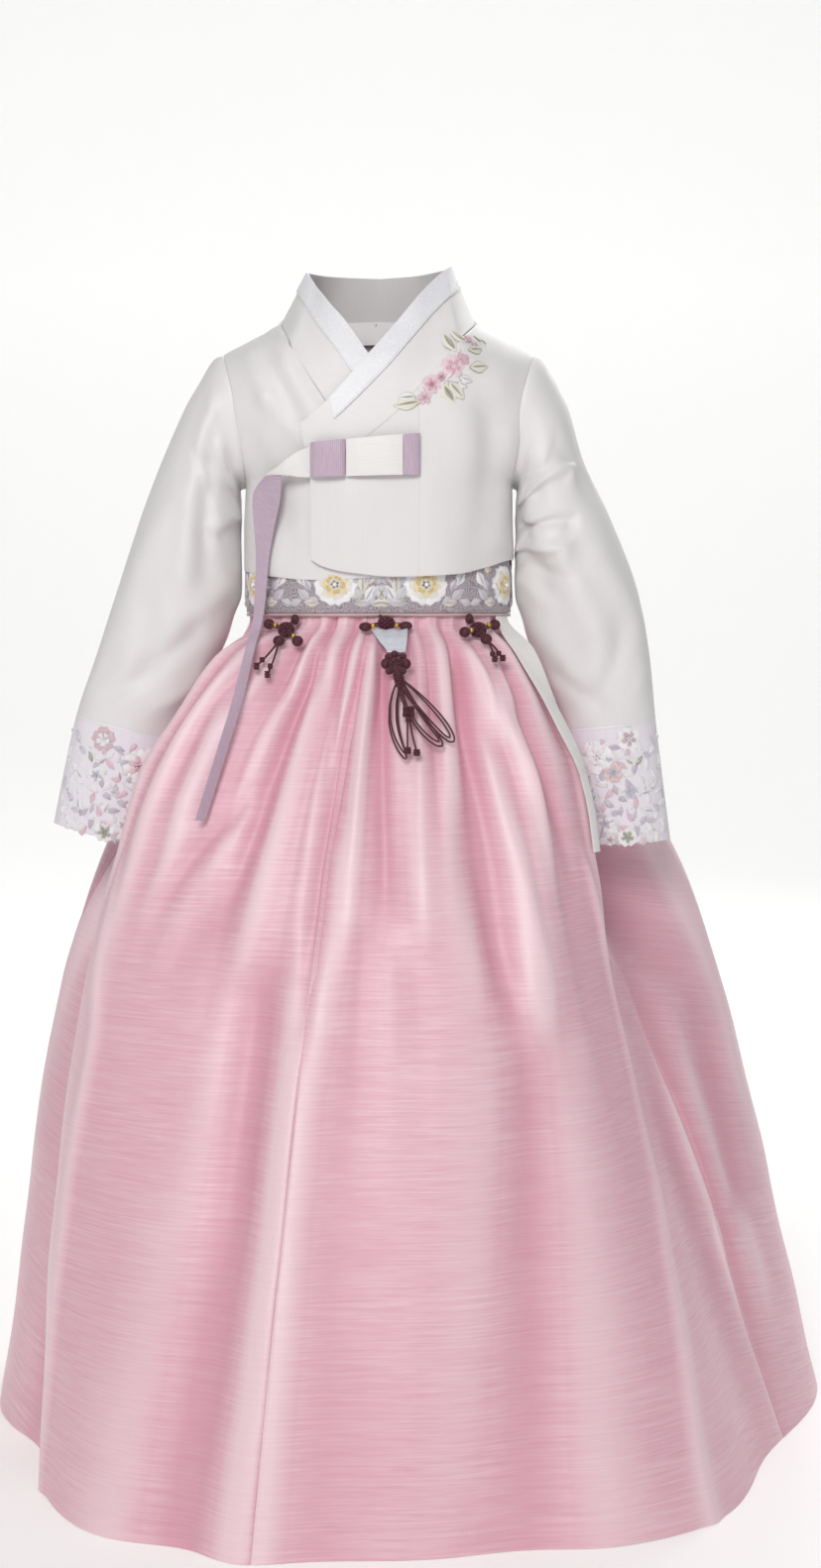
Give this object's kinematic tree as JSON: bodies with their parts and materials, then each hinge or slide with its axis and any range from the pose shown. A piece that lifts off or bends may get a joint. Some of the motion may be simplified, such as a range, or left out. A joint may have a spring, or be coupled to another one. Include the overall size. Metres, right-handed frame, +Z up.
{
  "type": "child's hanbok",
  "caption": "Child's worn Korean hanbok: short ivory wrapped jacket with a ribbon tie and embroidered cuffs, brocade belt with knot ornaments, and a full pink gathered skirt.",
  "frame": {"origin": "middle of the neck's base, at the height of the shoulders, where the wearer holds the garment", "axes": "+Z up along the wearer's body, the wearer faces -Y, +X towards the wearer's left side"},
  "size_m": [0.6994, 0.6852, 0.9431],
  "materials": {
    "ivory_silk": "smooth silk",
    "cuff_satin": "satin",
    "white_silk": "smooth silk",
    "mauve_silk": "ribbed silk",
    "pink_slub_silk": "slub silk with a soft sheen",
    "silver_brocade": "brocade",
    "beige_piping": "satin",
    "ivory_ribbon": "satin",
    "plum_cord": "knotted cord",
    "pale_jade": "polished opaque stone"
  },
  "bodies": {
    "root": {"jacket_body_left": "ivory_silk", "jacket_body_right": "ivory_silk", "overlap_outer": "ivory_silk", "overlap_inner": "ivory_silk", "collar_band": "ivory_silk", "collar_strip": "white_silk", "sleeve_left": "ivory_silk", "sleeve_right": "ivory_silk", "cuff_left": "cuff_satin", "cuff_right": "cuff_satin", "bow_knot": "mauve_silk", "bow_loop": "white_silk", "bow_loop_end": "mauve_silk", "bow_arm": "white_silk", "bow_tail": "mauve_silk", "chest_band": "white_silk", "belt": "silver_brocade", "belt_piping": "beige_piping", "skirt_tie": "ivory_ribbon", "skirt_front_left": "pink_slub_silk", "skirt_back_left": "pink_slub_silk", "skirt_back_right": "pink_slub_silk", "skirt_front_right": "pink_slub_silk", "ornament_left": "plum_cord", "ornament_middle": "plum_cord", "ornament_jade": "pale_jade", "ornament_tassel": "plum_cord", "ornament_right": "plum_cord"}
  },
  "joints": []
}
